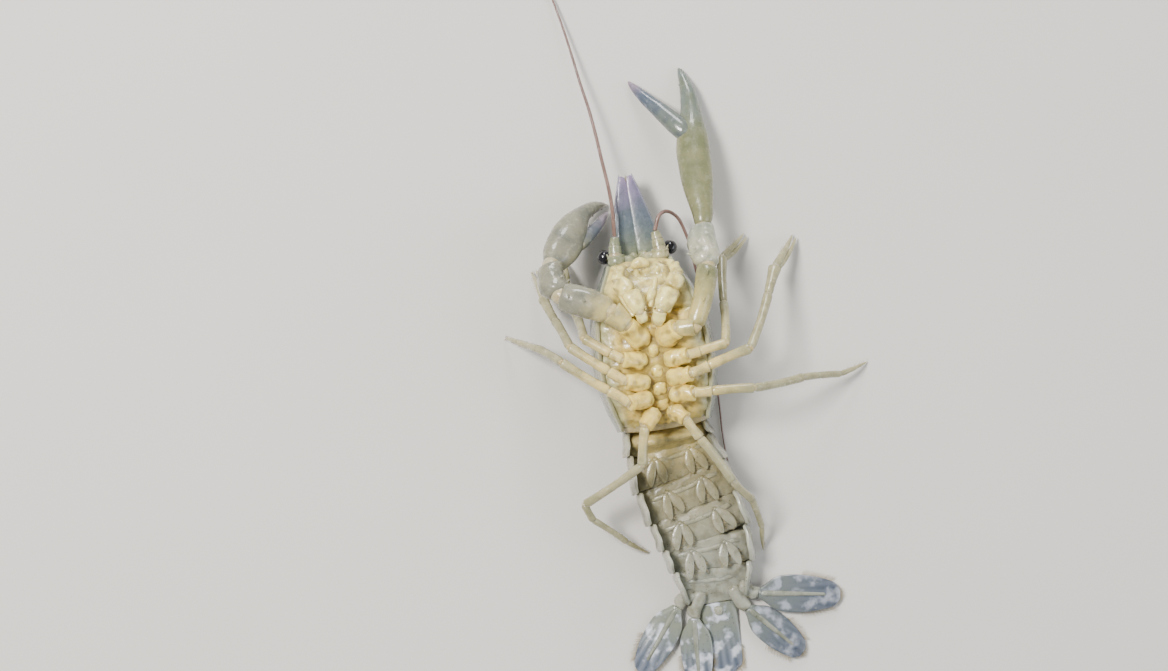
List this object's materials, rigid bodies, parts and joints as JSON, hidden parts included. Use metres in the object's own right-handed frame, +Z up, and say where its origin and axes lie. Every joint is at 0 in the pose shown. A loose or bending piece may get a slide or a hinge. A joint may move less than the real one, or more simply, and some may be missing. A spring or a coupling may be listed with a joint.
{
  "type": "blue crayfish model",
  "caption": "Life-size young blue crayfish lying on its back, claws and legs spread, one claw open, tail fan splayed.",
  "frame": {"origin": "middle of the whole animal's box, on the floor that its back rests on", "axes": "+Y forwards along the thorax to the head, +X to the animal's own left, +Z up from the floor, which its underside faces away from"},
  "size_m": [0.0516, 0.1116, 0.0164],
  "materials": {
    "thorax_shell": "wet translucent olive grey shell",
    "thorax_underside": "wet cream shell and flesh",
    "mouth": "wet pale cream shell",
    "eye": "glossy black",
    "scale_blue": "wet translucent blue",
    "feeler": "fine reddish brown rings",
    "claw": "wet grey green shell",
    "claw_tip": "wet blue grey shell",
    "leg": "wet translucent pale shell",
    "tail_ring": "wet translucent olive grey shell with dark flecks",
    "tail_fan": "wet translucent blue grey blades"
  },
  "bodies": {
    "root": {"antenna_left_base": "scale_blue", "antenna_left_far": "feeler", "antenna_left_near": "feeler", "antenna_right_base": "scale_blue", "antenna_right_far": "feeler", "antenna_right_near": "feeler", "antennal_scale_left": "scale_blue", "antennal_scale_right": "scale_blue", "antennule_left": "scale_blue", "antennule_right": "scale_blue", "carapace": "thorax_shell", "claw_left_arm": "claw", "claw_left_finger": "claw_tip", "claw_left_palm": "claw", "claw_left_wrist": "claw", "claw_right_arm": "claw", "claw_right_finger": "claw_tip", "claw_right_palm": "claw", "claw_right_wrist": "claw", "eye_left": "eye", "eye_right": "eye", "leg_2_left_lower": "leg", "leg_2_left_upper": "leg", "leg_2_right_lower": "leg", "leg_2_right_upper": "leg", "leg_3_left_lower": "leg", "leg_3_left_upper": "leg", "leg_3_right_lower": "leg", "leg_3_right_upper": "leg", "leg_4_left_lower": "leg", "leg_4_left_upper": "leg", "leg_4_right_lower": "leg", "leg_4_right_upper": "leg", "leg_5_left_lower": "leg", "leg_5_left_upper": "leg", "leg_5_right_lower": "leg", "leg_5_right_upper": "leg", "maxilliped_left": "mouth", "maxilliped_right": "mouth", "mouth_frame": "mouth", "tail_ring_1": "tail_ring", "tail_ring_2": "tail_ring", "tail_ring_3": "tail_ring", "tail_ring_4": "tail_ring", "tail_ring_5": "tail_ring", "tail_ring_6": "tail_ring", "telson": "tail_fan", "thorax_underside": "thorax_underside", "uropod_inner_left": "tail_fan", "uropod_inner_right": "tail_fan", "uropod_outer_left": "tail_fan", "uropod_outer_right": "tail_fan"}
  },
  "joints": []
}
